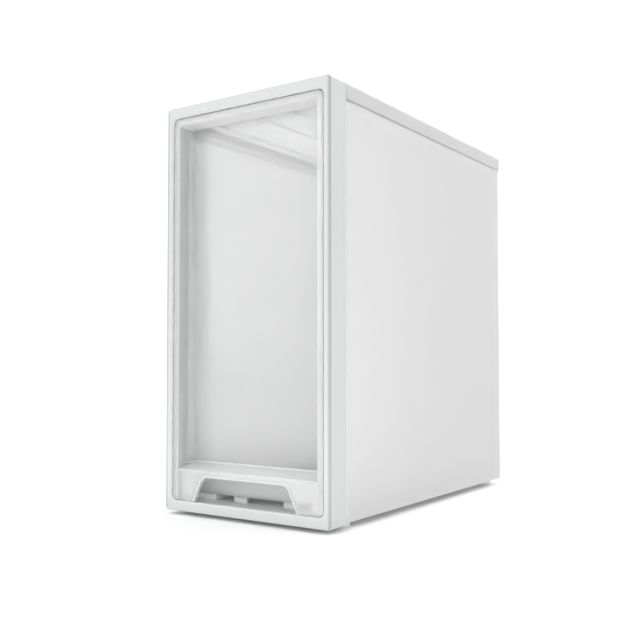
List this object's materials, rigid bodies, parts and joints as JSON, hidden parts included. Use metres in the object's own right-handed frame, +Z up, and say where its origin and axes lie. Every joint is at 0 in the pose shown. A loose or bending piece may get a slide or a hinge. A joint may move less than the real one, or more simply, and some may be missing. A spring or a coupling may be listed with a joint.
{
  "type": "stackable drawer box",
  "caption": "Tall, narrow white plastic case on low feet, with a clear pull-out drawer, a recessed window, a finger arch and a stacking rim on top.",
  "frame": {"origin": "on the floor, at the centre of the footprint", "axes": "+Z up; the drawer's front faces -Y, and +X is to the right seen from the front"},
  "size_m": [0.194, 0.384, 0.4],
  "materials": {
    "case_gloss": "satin-gloss injection-moulded polypropylene, white",
    "case_matte": "fine-textured injection-moulded polypropylene, white",
    "foot_plastic": "matte polypropylene, white",
    "clear_tray": "clear, slightly frosted plastic",
    "clear_front": "clear glossy plastic"
  },
  "bodies": {
    "case": {"front_frame": "case_gloss", "top_cover": "case_gloss", "left_side_panel": "case_matte", "right_side_panel": "case_matte", "back_panel": "case_matte", "base_panel": "case_matte", "front_left_foot": "foot_plastic", "front_right_foot": "foot_plastic", "rear_left_foot": "foot_plastic", "rear_right_foot": "foot_plastic"},
    "drawer": {"drawer_tray": "clear_tray", "drawer_front": "clear_front"}
  },
  "joints": [
    {"name": "drawer_slide", "type": "slide", "parent": "case", "child": "drawer", "axis": [0, -1, 0], "range_m": [0, 0.315]}
  ]
}
